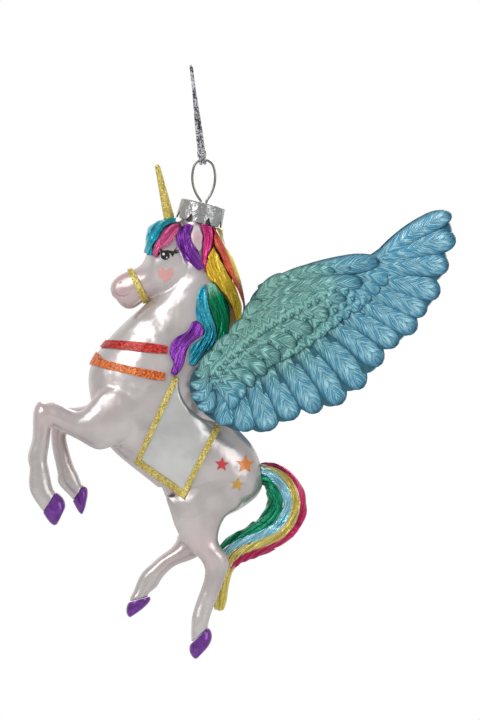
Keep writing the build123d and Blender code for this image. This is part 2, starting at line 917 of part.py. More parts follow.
def drawn_leg(member, ribs, bends=()):
    """A hollow glass leg, closed at the hoof and joined to the body's outside."""
    ribbed_loft(member, ribs, bends=bends)
    add(glass_form.part, mode=Mode.SUBTRACT)
    ribbed_loft(member, ribs[:-1], -leg_wall, Mode.SUBTRACT, bends)


def hoof_member(leg, ribs):
    """A hoof's own member, anchored at the middle of its top on the leg."""
    anchor_pixels = ((ribs[0][0] + ribs[0][2]) / 2, (ribs[0][1] + ribs[0][3]) / 2)
    sizes = (hoof_length, hoof_length, hoof_width)
    return Member(anchor_pixels, leg.at(*anchor_pixels), hoof_span_pixels, sizes)


with BuildPart() as front_leg_left:
    drawn_leg(near_front, near_front_rib_pixels, near_front_bends)

with BuildPart() as front_leg_right:
    drawn_leg(far_front, far_front_rib_pixels, far_front_bends)

with BuildPart() as hind_leg_left:
    drawn_leg(near_hind, near_hind_rib_pixels)

with BuildPart() as hind_leg_right:
    drawn_leg(far_hind, far_hind_rib_pixels)

with BuildPart() as front_hoof_left:
    ribbed_loft(hoof_member(near_front, near_front_hoof_pixels), near_front_hoof_pixels)
    add(front_leg_left.part, mode=Mode.SUBTRACT)

with BuildPart() as front_hoof_right:
    ribbed_loft(hoof_member(far_front, far_front_hoof_pixels), far_front_hoof_pixels)
    add(front_leg_right.part, mode=Mode.SUBTRACT)

with BuildPart() as hind_hoof_left:
    ribbed_loft(hoof_member(near_hind, near_hind_hoof_pixels), near_hind_hoof_pixels)
    add(hind_leg_left.part, mode=Mode.SUBTRACT)

with BuildPart() as hind_hoof_right:
    ribbed_loft(hoof_member(far_hind, far_hind_hoof_pixels), far_hind_hoof_pixels)
    add(hind_leg_right.part, mode=Mode.SUBTRACT)

# The tail is one form, parted into its locks along their shared borders
with BuildPart() as tail_form:
    ribbed_loft(tail, tail_rib_pixels, bends=tail_bends)
    add(glass_form.part, mode=Mode.SUBTRACT)


def tail_lock(number):
    """The tail's lock between a border and the next one inwards."""
    add(tail_form.part)
    side_band(tail, tail_border_pixels[number], tail_border_pixels[number + 1])


with BuildPart() as tail_lock_magenta:
    tail_lock(0)

with BuildPart() as tail_lock_gold:
    tail_lock(1)

with BuildPart() as tail_lock_blue:
    tail_lock(2)

with BuildPart() as tail_lock_green:
    tail_lock(3)

# Each wing is a plate of feathers that spreads outwards from its seat
wing = Member(wing_anchor_pixels, (0, 0), wing_span_pixels, (wing_length, wing_height, body_width))
wing_place = body.at(*wing_anchor_pixels)
wing_way = figure_point(cos(radians(wing_spread)), 0, sin(radians(wing_spread))) - pivot
wing_out = figure_point(-sin(radians(wing_spread)), 0, cos(radians(wing_spread))) - pivot
wing_plane = Plane(origin=figure_point(*wing_place, wing_offset), x_dir=wing_way, z_dir=wing_out)


def feathered_sketch(leading, tips, root):
    """A wing outline: its leading edge, a round tip for each feather and its edge at the root."""
    with BuildSketch(wing_plane) as outline:
        with BuildLine():
            Spline(*wing.points(leading))
            for tip in tips:
                ThreePointArc(wing.at(*tip[0:2]), wing.at(*tip[2:4]), wing.at(*tip[4:6]))
            Spline(*wing.points(root))
        make_face()
    return outline.sketch


with BuildPart() as wing_left:
    extrude(feathered_sketch(wing_leading_pixels, wing_tip_pixels, wing_root_pixels), amount=feather_thickness)
    coverts = feathered_sketch(covert_leading_pixels, covert_tip_pixels, covert_root_pixels)
    extrude(coverts, amount=feather_thickness + covert_thickness)
    with BuildSketch(wing_plane):
        with BuildLine():
            Spline(*wing.points(wing_pad_pixels), periodic=True)
        make_face()
    extrude(amount=-wing_pad_thickness)
    add(glass_form.part, mode=Mode.SUBTRACT)

with BuildPart() as wing_right:
    add(mirror(wing_left.part, about=figure_plane, mode=Mode.PRIVATE))

pieces = {
    "cord_loop": cord_loop,
    "cord_hitch": cord_hitch,
    "wire_hanger": wire_hanger,
    "crown_cap": crown_cap,
    "glass_body": glass_body,
    "front_leg_left": front_leg_left,
    "front_leg_right": front_leg_right,
    "hind_leg_left": hind_leg_left,
    "hind_leg_right": hind_leg_right,
    "front_hoof_left": front_hoof_left,
    "front_hoof_right": front_hoof_right,
    "hind_hoof_left": hind_hoof_left,
    "hind_hoof_right": hind_hoof_right,
    "horn": horn,
    "ears": ears,
    "forelock_blue": forelock_blue,
    "forelock_pink": forelock_pink,
    "temple_lock_violet": temple_lock_violet,
    "crest_lock_magenta": crest_lock_magenta,
    "crest_lock_gold": crest_lock_gold,
    "crest_lock_orange": crest_lock_orange,
    "crest_lock_rim": crest_lock_rim,
    "neck_lock_teal": neck_lock_teal,
    "neck_lock_green": neck_lock_green,
    "neck_lock_violet": neck_lock_violet,
    "noseband": noseband,
    "chest_strap_red": chest_strap_red,
    "chest_strap_orange": chest_strap_orange,
    "saddle_blanket": saddle_blanket,
    "saddle_trim": saddle_trim,
    "wing_left": wing_left,
    "wing_right": wing_right,
    "tail_lock_magenta": tail_lock_magenta,
    "tail_lock_gold": tail_lock_gold,
    "tail_lock_blue": tail_lock_blue,
    "tail_lock_green": tail_lock_green,
}
for name, piece in pieces.items():
    piece.part.label = name
    export_step(piece.part, f"parts/{name}.step")
print("cord corner radii", [round(radius, 2) for radius in loop_radii])
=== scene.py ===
from math import cos, exp, hypot, pi, radians, sin

import bmesh
import bpy
import numpy as np
from mathutils import Matrix, Vector
from mathutils.bvhtree import BVHTree


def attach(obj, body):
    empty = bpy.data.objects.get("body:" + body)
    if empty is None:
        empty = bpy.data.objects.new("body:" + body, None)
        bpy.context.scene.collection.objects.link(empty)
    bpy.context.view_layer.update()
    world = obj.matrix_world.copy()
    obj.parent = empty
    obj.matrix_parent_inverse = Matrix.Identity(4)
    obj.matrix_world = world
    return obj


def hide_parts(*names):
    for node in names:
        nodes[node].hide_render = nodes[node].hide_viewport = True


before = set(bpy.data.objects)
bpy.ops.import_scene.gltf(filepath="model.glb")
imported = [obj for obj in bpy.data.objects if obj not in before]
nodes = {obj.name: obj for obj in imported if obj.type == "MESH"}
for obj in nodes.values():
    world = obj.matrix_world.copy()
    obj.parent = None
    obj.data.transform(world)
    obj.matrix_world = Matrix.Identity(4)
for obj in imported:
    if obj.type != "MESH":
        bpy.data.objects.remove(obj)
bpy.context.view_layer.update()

# The photograph's pixels and the row's frame
PIXEL = 0.00028
ROLL = radians(6.9)
PIVOT_PIXEL = (203.7, 170.1)
PIVOT_HEIGHT = -0.02875


def spot(x, y, depth=0.0):
    """The place in the row's frame of a pixel of the photograph."""
    right, up = (x - PIVOT_PIXEL[0]) * PIXEL, (PIVOT_PIXEL[1] - y) * PIXEL
    return Vector((right * cos(ROLL) + up * sin(ROLL), depth, PIVOT_HEIGHT - right * sin(ROLL) + up * cos(ROLL)))


def pixels(points):
    """The photograph's pixels of places in the row's frame."""
    x, z = points[:, 0], points[:, 2] - PIVOT_HEIGHT
    right, up = x * cos(ROLL) - z * sin(ROLL), x * sin(ROLL) + z * cos(ROLL)
    return np.stack([PIVOT_PIXEL[0] + right / PIXEL, PIVOT_PIXEL[1] - up / PIXEL], axis=1)


# Camera
camera = bpy.data.objects.new("camera", bpy.data.cameras.new("camera"))
bpy.context.collection.objects.link(camera)
CAMERA_DISTANCE = 2.2
camera.data.sensor_fit = "VERTICAL"
camera.data.sensor_height = 24
camera.data.lens = 24 * CAMERA_DISTANCE / (720 * PIXEL)
camera.data.clip_end = 20
view_right = Vector((cos(ROLL), 0, -sin(ROLL)))
view_up = Vector((sin(ROLL), 0, cos(ROLL)))
turn = Matrix((view_right, view_up, Vector((0, -1, 0)))).transposed()
camera.matrix_world = Matrix.Translation(spot(240, 360, -CAMERA_DISTANCE)) @ turn.to_4x4()
bpy.context.scene.camera = camera


# Shader helpers
class Shade:
    """A node material with a few short helpers."""

    def __init__(self, name, **sockets):
        self.material = bpy.data.materials.new(name)
        self.material.use_nodes = True
        self.tree = self.material.node_tree
        self.shader = self.tree.nodes["Principled BSDF"]
        for key, value in sockets.items():
            self.shader.inputs[key.replace("_", " ")].default_value = value

    def node(self, kind, **inputs):
        made = self.tree.nodes.new("ShaderNode" + kind)
        for key, value in inputs.items():
            socket = made.inputs[int(key[1:])] if key[0] == "i" and key[1:].isdigit() else made.inputs[key]
            if isinstance(value, bpy.types.NodeSocket):
                self.tree.links.new(value, socket)
            else:
                socket.default_value = value
        return made

    def link(self, output, name):
        self.tree.links.new(output, self.shader.inputs[name])

    def place(self):
        return self.node("TexCoord").outputs["Object"]

    def attribute(self, name):
        made = self.tree.nodes.new("ShaderNodeAttribute")
        made.attribute_name = name
        return made.outputs["Fac"]

    def math(self, operation, first, second=0.0):
        made = self.tree.nodes.new("ShaderNodeMath")
        made.operation = operation
        for socket, value in zip(made.inputs, (first, second)):
            if isinstance(value, bpy.types.NodeSocket):
                self.tree.links.new(value, socket)
            else:
                socket.default_value = value
        return made.outputs[0]

    def noise(self, vector, scale, detail=3.0, rough=0.5):
        return self.node("TexNoise", Vector=vector, Scale=scale, Detail=detail, Roughness=rough).outputs["Fac"]

    def ramp(self, factor, *stops):
        made = self.node("ValToRGB", Fac=factor)
        elements = made.color_ramp.elements
        while len(elements) < len(stops):
            elements.new(0.5)
        for element, (position, colour) in zip(elements, stops):
            element.position = position
            element.color = (*colour, 1)
        return made.outputs["Color"]

    def mix(self, factor, first, second, blend="MIX"):
        made = self.tree.nodes.new("ShaderNodeMix")
        made.data_type = "RGBA"
        made.blend_type = blend
        for index, value in ((0, factor), (6, first), (7, second)):
            if isinstance(value, bpy.types.NodeSocket):
                self.tree.links.new(value, made.inputs[index])
            else:
                made.inputs[index].default_value = value if index == 0 else (*value, 1)
        return made.outputs[2]

    def bump(self, height, distance, strength=1.0):
        made = self.node("Bump", Height=height, Distance=distance, Strength=strength)
        self.link(made.outputs["Normal"], "Normal")


def near(shade, place, x, y, reach):
    """1 at a pixel of the photograph, falling to 0 at a reach in metres, through the object's whole depth."""
    flat = shade.node("VectorMath", i0=place, i1=(1, 0, 1))
    flat.operation = "MULTIPLY"
    away = shade.node("VectorMath", i0=flat.outputs["Vector"], i1=tuple(spot(x, y)))
    away.operation = "DISTANCE"
    return shade.math("SUBTRACT", 1.0, shade.math("MINIMUM", shade.math("DIVIDE", away.outputs["Value"], reach), 1.0))


# Materials
def halfway(dark, light):
    """The colour between two colours."""
    return tuple((a + b) / 2 for a, b in zip(dark, light))


def pearl(name, base, blush, patches=()):
    """Pearl lacquer over silvered glass: satin sheen, soft dents and a blush in patches."""
    shade = Shade(name, Metallic=0.55, Roughness=0.27, Coat_Weight=0.2, Coat_Roughness=0.12)
    place = shade.place()
    cloud = shade.noise(place, 95, 2, 0.5)
    colour = shade.ramp(cloud, (0.32, tuple(c * 0.8 for c in base)), (0.6, base))
    grain = shade.noise(place, 3200, 2, 0.6)
    colour = shade.mix(shade.math("MULTIPLY", grain, 0.16), colour, blush)
    for x, y, reach, weight in patches:
        colour = shade.mix(shade.math("MULTIPLY", near(shade, place, x, y, reach), weight), colour, blush)
    shade.link(colour, "Base Color")
    small_dents = shade.math("MULTIPLY", shade.noise(place, 330, 1, 0.4), 0.22)
    dents = shade.math("ADD", shade.noise(place, 120, 1, 0.4), small_dents)
    shade.bump(shade.math("ADD", dents, shade.math("MULTIPLY", grain, 0.008)), 0.0015, 0.6)
    return shade.material


def lacquer(name, dark, light, fineness=1.0, pale=None, along_pale=0.0, rim=None, tip=None):
    """Glossy metallic lacquer over hair strands that follow the lock, with painted shade in the grooves between
    strands and painted highlights on their crests.
    """
    shade = Shade(name, Metallic=0.85, Roughness=0.22, Coat_Weight=0.12, Coat_Roughness=0.06)
    across = shade.math("MULTIPLY", shade.attribute("across"), 1000 * fineness)
    along = shade.math("MULTIPLY", shade.attribute("along"), 1000)
    drift = shade.math("MULTIPLY", along, 0.07)
    flow = shade.node("CombineXYZ", X=across, Y=drift, Z=0.0).outputs["Vector"]
    strands = shade.noise(flow, 1.15, 2, 0.5)
    fine = shade.noise(flow, 3.4, 2, 0.55)
    height = shade.math("ADD", strands, shade.math("MULTIPLY", fine, 0.35))
    # Painted shade and highlight: the dark colour lies in the strands' grooves and the light one on their crests
    colour = shade.ramp(height, (0.52, dark), (0.7, halfway(dark, light)), (0.95, light))
    if pale is not None:
        start = shade.math("SUBTRACT", 1.0, shade.math("MINIMUM", shade.math("DIVIDE", along, along_pale), 1.0))
        colour = shade.mix(start, colour, pale)
    # Painted highlight: the rim colour, gold, lies along the lock's outer side near its top
    if rim is not None:
        outer = shade.node("MapRange", Value=across, i1=-0.2, i2=-0.8).outputs[0]
        upper = shade.node("MapRange", Value=along, i1=20.0, i2=14.0).outputs[0]
        colour = shade.mix(shade.math("MULTIPLY", outer, upper), colour, rim)
    if tip is not None:
        lower = shade.node("MapRange", Value=along, i1=37.0, i2=39.5).outputs[0]
        colour = shade.mix(lower, colour, tip)
    shade.link(colour, "Base Color")
    shade.bump(height, 0.0014, 0.8)
    return shade.material


def glitter(name, dark, light, size=2600):
    """Coarse glitter in clear lacquer."""
    shade = Shade(name, Metallic=0.7, Roughness=0.34, Coat_Weight=0.3)
    place = shade.place()
    cells = shade.node("TexVoronoi", Vector=place, Scale=size)
    tone = shade.node("SeparateColor", Color=cells.outputs["Color"])
    colour = shade.ramp(tone.outputs[0], (0.0, dark), (0.55, halfway(dark, light)), (1.0, light))
    shade.link(colour, "Base Color")
    height = shade.math("ADD", shade.math("MULTIPLY", tone.outputs[1], 0.6), shade.noise(place, size * 0.8, 2))
    shade.bump(height, 0.0004, 0.9)
    return shade.material


def enamel(name, base, variation=0.85, gloss=0.15, metallic=0.1):
    """Plain glossy enamel with slight brush marks."""
    shade = Shade(name, Metallic=metallic, Roughness=gloss, Coat_Weight=0.5)
    place = shade.place()
    marks = shade.noise(place, 700, 3)
    shade.link(shade.ramp(marks, (0.3, tuple(c * variation for c in base)), (0.7, base)), "Base Color")
    shade.bump(marks, 0.00012, 0.5)
    return shade.material


def feathers_material():
    """Lacquered cast feathers: barbs rise from the shaft, green at the shoulder and blue at the tips, with painted
    highlights on the barbs and painted shade between them.
    """
    shade = Shade("wing_lacquer", Metallic=0.38, Roughness=0.28, Coat_Weight=0.25, Coat_Roughness=0.2)
    across = shade.math("ABSOLUTE", shade.attribute("across"))
    along = shade.attribute("along")
    slant = shade.math("MULTIPLY", shade.math("ADD", along, shade.math("MULTIPLY", across, -1.7)), 1000)
    bend = shade.math("MULTIPLY", shade.noise(shade.place(), 330, 3), 2.6)
    slanted, spread = shade.math("ADD", slant, bend), shade.math("MULTIPLY", across, 260)
    flow = shade.node("CombineXYZ", X=slanted, Y=spread, Z=0.0).outputs["Vector"]
    fine = shade.noise(flow, 3.2, 2, 0.6)
    barbs = shade.ramp(shade.noise(flow, 1.7, 1, 0.5), (0.38, (0, 0, 0)), (0.6, (1, 1, 1)))
    barbs = shade.node("RGBToBW", Color=barbs).outputs[0]
    tone = shade.attribute("tone")
    base = shade.ramp(
        tone,
        (0.0, (0.005, 0.13, 0.11)), (0.4, (0.005, 0.17, 0.18)), (0.6, (0.005, 0.24, 0.42)), (1.0, (0.01, 0.3, 0.55)),
    )
    tips = shade.ramp(
        tone,
        (0.0, (0.46, 0.88, 0.76)), (0.4, (0.46, 0.9, 0.84)), (0.6, (0.46, 0.88, 0.97)), (1.0, (0.52, 0.9, 1.0)),
    )
    # Painted highlights: the barbs' ridges take the pale colour and the gaps between them the deep one; near the
    # shoulder the highlights are calmer and more even
    light = shade.math("MULTIPLY", barbs, shade.math("ADD", shade.math("MULTIPLY", fine, 1.3), 0.25))
    calm = shade.math("MULTIPLY", shade.math("SUBTRACT", 1.0, tone), 0.3)
    lively = shade.math("MULTIPLY", light, shade.math("SUBTRACT", 1.0, calm))
    light = shade.math("ADD", lively, shade.math("MULTIPLY", calm, 0.6))
    # Painted shade between feathers: towards each feather's edges and end the highlight fades and the colour darkens
    # to deep blue
    rim = shade.math("POWER", shade.attribute("edge"), 4.0)
    light = shade.math("MULTIPLY", light, shade.math("SUBTRACT", 1.0, rim))
    colour = shade.mix(light, base, tips)
    shade.link(shade.mix(shade.math("MULTIPLY", rim, 0.75), colour, (0.004, 0.07, 0.1)), "Base Color")
    shade.bump(shade.math("ADD", barbs, shade.math("MULTIPLY", fine, 0.6)), 0.0004, 0.75)
    return shade.material


def metal(name, base, rough, scale, depth):
    """Bare metal with uneven wear."""
    shade = Shade(name, Metallic=1.0, Roughness=rough)
    place = shade.place()
    wear = shade.noise(place, scale, 4)
    shade.link(shade.ramp(wear, (0.3, tuple(c * 0.75 for c in base)), (0.7, base)), "Base Color")
    shade.bump(wear, depth, 0.6)
    return shade.material


def braid():
    """Metallic thread: silver and black flecks."""
    shade = Shade("cord_braid", Metallic=0.5, Roughness=0.4)
    cells = shade.node("TexVoronoi", Vector=shade.place(), Scale=2300)
    tone = shade.node("SeparateColor", Color=cells.outputs["Color"])
    flecks = shade.ramp(tone.outputs[0], (0.25, (0.07, 0.07, 0.08)), (0.5, (0.4, 0.4, 0.43)), (0.8, (0.8, 0.8, 0.84)))
    shade.link(flecks, "Base Color")
    shade.bump(cells.outputs["Distance"], 0.0004, 0.9)
    return shade.material


BLUSH = (0.7, 0.5, 0.5)
# Pixel x, y, reach in metres and weight
blush_patches = (
    (120, 285, 0.010, 0.95), (146, 292, 0.006, 0.3), (100, 400, 0.009, 0.3), (46, 415, 0.009, 0.45),
    (60, 440, 0.007, 0.3), (133, 300, 0.005, 0.3), (185, 560, 0.010, 0.3), (150, 470, 0.012, 0.2),
    (210, 540, 0.010, 0.35), (75, 460, 0.008, 0.3), (165, 560, 0.008, 0.3), (180, 235, 0.006, 0.3),
)
materials = {
    "pearl": pearl("pearl_body", (0.67, 0.635, 0.625), BLUSH, blush_patches),
    "silver_pearl": pearl("pearl_blanket", (0.72, 0.72, 0.71), (0.52, 0.5, 0.5)),
    "ear": pearl("pearl_ear", (0.88, 0.8, 0.82), (0.85, 0.45, 0.55), ((198, 238, 0.0022, 0.85),)),
    "gold": glitter("glitter_gold", (0.5, 0.34, 0.02), (0.98, 0.86, 0.3)),
    "strap_red": glitter("glitter_red", (0.32, 0.005, 0.01), (0.8, 0.07, 0.05), 2200),
    "strap_orange": glitter("glitter_orange", (0.5, 0.06, 0.01), (0.93, 0.3, 0.08), 2200),
    "hoof": enamel("hoof_purple", (0.22, 0.04, 0.4), 0.5, 0.22, 0.45),
    "cap": metal("cap_metal", (0.5, 0.5, 0.5), 0.26, 420, 0.0012),
    "wire": metal("hanger_metal", (0.34, 0.32, 0.3), 0.18, 1500, 0.00004),
    "braid": braid(),
    # Each lock's first colour is painted shade for its grooves, the second a painted highlight for its strands'
    # crests
    "blue": lacquer("lock_blue", (0.0, 0.2, 0.33), (0.02, 0.62, 0.72)),
    "pink": lacquer("lock_pink", (0.5, 0.02, 0.16), (0.9, 0.24, 0.45)),
    "violet": lacquer("lock_violet", (0.1, 0.008, 0.22), (0.42, 0.1, 0.62)),
    "magenta": lacquer("lock_magenta", (0.4, 0.0, 0.1), (0.92, 0.1, 0.4)),
    "crest_gold": lacquer("lock_gold", (0.6, 0.33, 0.0), (1.0, 0.78, 0.1)),
    # The orange lock's rim colour is a painted gold highlight along its outer edge near the top
    "orange": lacquer("lock_orange", (0.5, 0.02, 0.01), (0.92, 0.22, 0.1), rim=(0.8, 0.6, 0.06)),
    "olive": lacquer("lock_olive", (0.35, 0.28, 0.02), (0.82, 0.72, 0.15)),
    "teal": lacquer("lock_teal", (0.0, 0.2, 0.36), (0.1, 0.72, 0.85)),
    "green": lacquer("lock_green", (0.0, 0.1, 0.04), (0.0, 0.5, 0.22), 1.0, (0.4, 0.75, 0.62), 5.0),
    "tail_magenta": lacquer("tail_magenta", (0.32, 0.0, 0.06), (0.85, 0.06, 0.2), tip=(0.8, 0.66, 0.16)),
    "tail_gold": lacquer("tail_gold", (0.5, 0.36, 0.02), (0.92, 0.84, 0.35)),
    "tail_blue": lacquer("tail_blue", (0.1, 0.4, 0.55), (0.6, 0.9, 0.95)),
    "tail_green": lacquer("tail_green", (0.0, 0.12, 0.06), (0.02, 0.5, 0.25)),
    "feathers": feathers_material(),
    # The wing's core is enamelled deep blue as painted shade, which shows in the gaps between feathers
    "wing_core_shade": enamel("wing_core_shade", (0.01, 0.14, 0.2), 0.5, 0.35),
    "black": enamel("eye_black", (0.012, 0.01, 0.012), 0.5, 0.12),
    "white": enamel("eye_white", (0.9, 0.9, 0.9), 0.95, 0.12),
    "heart": enamel("cheek_pink", (0.85, 0.42, 0.4), 0.9, 0.3),
    "star_red": enamel("star_red", (0.72, 0.05, 0.06), 0.8, 0.25),
    "star_orange": enamel("star_orange", (0.88, 0.27, 0.05), 0.85, 0.25),
    "star_gold": enamel("star_gold", (0.72, 0.4, 0.04), 0.8, 0.25),
    "crease": enamel("crease_rose", (0.5, 0.32, 0.32), 0.9, 0.35),
}


def dress(node, material):
    """A CAD node keeps its shape and gets a better material."""
    data = nodes[node].data
    if not data.materials:
        data.materials.append(materials[material])
    for place in nodes[node].material_slots:
        place.material = materials[material]


for name in ("front_hoof_left", "front_hoof_right", "hind_hoof_left", "hind_hoof_right"):
    dress(name, "hoof")
for name in ("horn", "noseband"):
    dress(name, "gold")
dress("ears", "ear")
dress("chest_strap_red", "strap_red")
dress("chest_strap_orange", "strap_orange")
dress("wire_hanger", "wire")
dress("crown_cap", "cap")
dress("cord_hitch", "braid")


def new_object(name, mesh, material):
    """A piece of the figure from a mesh, in one material."""
    piece = bpy.data.objects.new(name, mesh)
    bpy.context.collection.objects.link(piece)
    mesh.materials.clear()
    mesh.materials.append(materials[material])
    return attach(piece, "figure")


# The cord's loop, on the same route as its solid
cord_points = (
    (-0.00055, 0, -0.0234), (-0.00055, 0, -0.017), (0, -0.00205, -0.0065), (0, -0.00205, 0.0005),
    (0, 0.00205, 0.0005), (0, 0.00205, -0.0065), (0.00055, 0, -0.017), (0.00055, 0, -0.0234),
)
curve = bpy.data.curves.new("cord", "CURVE")
curve.dimensions = "3D"
curve.bevel_depth = 0.0005
curve.bevel_resolution = 4
curve.resolution_u = 16
spline = curve.splines.new("NURBS")
spline.points.add(len(cord_points) - 1)
for point, place in zip(spline.points, cord_points):
    point.co = (*place, 1)
spline.order_u = 3
spline.use_endpoint_u = True
curve.materials.append(materials["braid"])
cord = bpy.data.objects.new("cord", curve)
bpy.context.collection.objects.link(cord)
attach(cord, "cord")
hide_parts("cord_loop")


# Points nearer than this, in metres, are one point
WELD = 2e-6

# The near side, the object's left, faces -Y
BOTH_SIDES = ((-1, "left"), (1, "right"))

# The crest's flare starts at a pixel column, and fades out over some rows above a last row
FLARE_COLUMN, FLARE_SHARE = 222, 0.28
FLARE_LAST_ROW, FLARE_FADE = 352, 12

# A point further beyond an outline than this, in pixels, belongs to another form
HOLD_REACH = 22


# Outlines in the photograph that a mesh is drawn out or held in to
def flare_crest(shape):
    """The mane's crest, and the neck under it, stand out to the right as in the photograph."""
    flat = pixels(np.array([v.co for v in shape.verts]))
    fade = np.clip((FLARE_LAST_ROW - flat[:, 1]) / FLARE_FADE, 0, 1)
    out = np.clip(flat[:, 0] - FLARE_COLUMN, 0, None) * FLARE_SHARE * fade
    shape.verts.ensure_lookup_table()
    for index in np.nonzero(out)[0]:
        shape.verts[index].co += view_right * float(out[index]) * PIXEL


def hold_within(shape, side, outline):
    """Points beyond an outline of (y, x) pixels move in to it: side 1 is a left edge and -1 a right edge."""
    heights, edge = zip(*outline)
    flat = pixels(np.array([v.co for v in shape.verts]))
    beyond = (np.interp(flat[:, 1], heights, edge) - flat[:, 0]) * side
    level = (flat[:, 1] > heights[0]) & (flat[:, 1] < heights[-1])
    chosen = (beyond > 0) & (beyond < HOLD_REACH) & level
    shape.verts.ensure_lookup_table()
    for index in np.nonzero(chosen)[0]:
        shape.verts[index].co += view_right * float(beyond[index]) * side * PIXEL


# Hair that follows its lock
def followed(points, route):
    """For each place, its way along a route of pixels and its signed distance from it, in metres."""
    flat = pixels(points)
    best = np.full(len(flat), 1e9)
    along, across = np.zeros(len(flat)), np.zeros(len(flat))
    start = 0.0
    for (x0, y0), (x1, y1) in zip(route[:-1], route[1:]):
        span = np.array([x1 - x0, y1 - y0])
        length = hypot(*span)
        share = np.clip(((flat - (x0, y0)) @ span) / length**2, 0, 1)
        away = flat - ((x0, y0) + share[:, None] * span)
        distance = np.hypot(away[:, 0], away[:, 1])
        side = (span[0] * away[:, 1] - span[1] * away[:, 0]) / length
        closer = distance < best
        best[closer] = distance[closer]
        along[closer] = (start + share * length)[closer]
        across[closer] = side[closer]
        start += length
    return along * PIXEL, across * PIXEL


def smooth_route(route):
    """The route with its corners rounded."""
    for _ in range(3):
        cut = [route[0]]
        for (x0, y0), (x1, y1) in zip(route[:-1], route[1:]):
            cut.append((x0 * 0.75 + x1 * 0.25, y0 * 0.75 + y1 * 0.25))
            cut.append((x0 * 0.25 + x1 * 0.75, y0 * 0.25 + y1 * 0.75))
        cut.append(route[-1])
        route = cut
    return route


STRAND_RELIEF = 0.0001
NARROW_STRAND, WIDE_STRAND = 0.00125, 0.0021
HAIR_EDGES = (0.0016, 0.0009, 0.0005)


def strand_waves(along, across):
    """The height of the strands at each place of a lock, from -1.5 to 1.5."""
    sway = 2.2 * np.sin(along / 0.0048)
    narrow = np.sin(across * 2 * pi / NARROW_STRAND + sway)
    return narrow + 0.5 * np.sin(across * 2 * pi / WIDE_STRAND - along / 0.003)


def hair(node, material, slot, route, flare=False, inside_of=None):
    """A lock's solid with a finer mesh whose strands follow a route of pixels down the lock."""
    source = bmesh.new()
    source.from_mesh(nodes[node].data)
    source.transform(nodes[node].matrix_world)
    bmesh.ops.remove_doubles(source, verts=source.verts, dist=WELD)
    for limit in HAIR_EDGES:
        long_edges = [e for e in source.edges if e.calc_length() > limit]
        bmesh.ops.subdivide_edges(source, edges=long_edges, cuts=1, use_grid_fill=True)
        bmesh.ops.triangulate(source, faces=source.faces)
    if flare:
        flare_crest(source)
    if inside_of is not None:
        hold_within(source, *inside_of)
    mesh = bpy.data.meshes.new(node + "_strands")
    source.to_mesh(mesh)
    source.free()
    points = np.array([v.co for v in mesh.vertices])
    along, across = followed(points, smooth_route(route))
    normals = np.array([v.normal for v in mesh.vertices])
    relief = (strand_waves(along, across) * STRAND_RELIEF)[:, None]
    mesh.vertices.foreach_set("co", (points + normals * relief).astype(np.float32).ravel())
    mesh.update()
    for key, values in (("along", along), ("across", across)):
        mesh.attributes.new(key, "FLOAT", "POINT").data.foreach_set("value", values.astype(np.float32))
    for face in mesh.polygons:
        face.use_smooth = True
    mesh.set_sharp_from_angle(angle=radians(40))
    piece = new_object(node + "_strands", mesh, material)
    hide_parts(node)
    return piece


tail_outside = (
    (470, 292), (477, 298.5), (490, 306), (503, 308), (518, 305.5), (531, 298), (537, 293.5), (543, 286), (549, 272),
)
tail_route = [
    (258, 474), (274, 476), (286, 488), (288, 504), (278, 522),
    (262, 534), (243, 545), (229, 560), (224, 582), (221, 612),
]
# Node, material, slot and route of each lock that lies as its solid does
mane = (
    ("forelock_blue", "blue", "lacquer_blue", [(178, 218), (164, 227), (155, 238), (149, 253)]),
    ("forelock_pink", "pink", "lacquer_pink", [(182, 224), (170, 233), (161, 245), (155, 257)]),
    ("temple_lock_violet", "violet", "lacquer_violet", [(191, 224), (187, 240), (192, 255), (205, 269)]),
    ("crest_lock_magenta", "magenta", "lacquer_magenta", [(206, 221), (210, 236), (207, 252), (206, 272)]),
)
# The same of each lock that is drawn out with the crest
crest = (
    ("crest_lock_gold", "crest_gold", "lacquer_gold", [(215, 246), (213, 262), (222, 280), (233, 303), (236, 338)]),
    ("crest_lock_orange", "orange", "lacquer_orange", [(215, 226), (222, 245), (231, 266), (239, 292), (242, 334)]),
    ("crest_lock_rim", "olive", "lacquer_gold", [(217, 224), (229, 244), (237, 262), (242, 284)]),
)
neck = (
    (
        "neck_lock_teal", "teal", "lacquer_teal",
        [(208, 283), (201, 300), (206, 318), (213, 332), (204, 349), (192, 364)],
    ),
    ("neck_lock_green", "green", "lacquer_green", [(210, 281), (217, 300), (225, 320), (221, 340), (203, 359)]),
    ("neck_lock_violet", "violet", "lacquer_violet", [(198, 319), (196, 332), (184, 342), (178, 356), (174, 374)]),
)
for lock in mane:
    hair(*lock)
for lock in crest:
    hair(*lock, flare=True)
for lock in neck:
    hair(*lock)
hair("tail_lock_magenta", "tail_magenta", "tail_magenta", tail_route, inside_of=(-1, tail_outside))
for colour in ("gold", "blue", "green"):
    hair("tail_lock_" + colour, "tail_" + colour, "tail_" + colour, tail_route)


# The blown glass
VOXEL = 0.00034
FIRST_SMOOTHING = 4
blown = ("glass_body", "front_leg_left", "front_leg_right", "hind_leg_left", "hind_leg_right")

# A flattened ball on each side fills the pocket between belly and thigh
FILLER_PIXEL, FILLER_DEPTH = (195, 492), 0.0035
FILLER_RADII = (0.0062, 0.005, 0.0044)

# Pixel x, y, reach in pixels and passes of each join that is smoothed
joins = ((190, 497, 20, 130), (216, 501, 20, 60), (240, 500, 16, 24), (128, 410, 26, 20), (170, 505, 11, 16))

# The thigh's outline in the photograph, as y and x
thigh_front = ((487, 162), (498, 166), (510, 170), (523, 174), (536, 180))
thigh_back = ((500, 253), (507, 244), (512, 235), (515, 227), (523, 222), (534, 219))


def soften(shape, verts, passes):
    """Smooths some points of a mesh towards their neighbours."""
    for _ in range(passes):
        bmesh.ops.smooth_vert(shape, verts=verts, factor=0.5, use_axis_x=True, use_axis_y=True, use_axis_z=True)


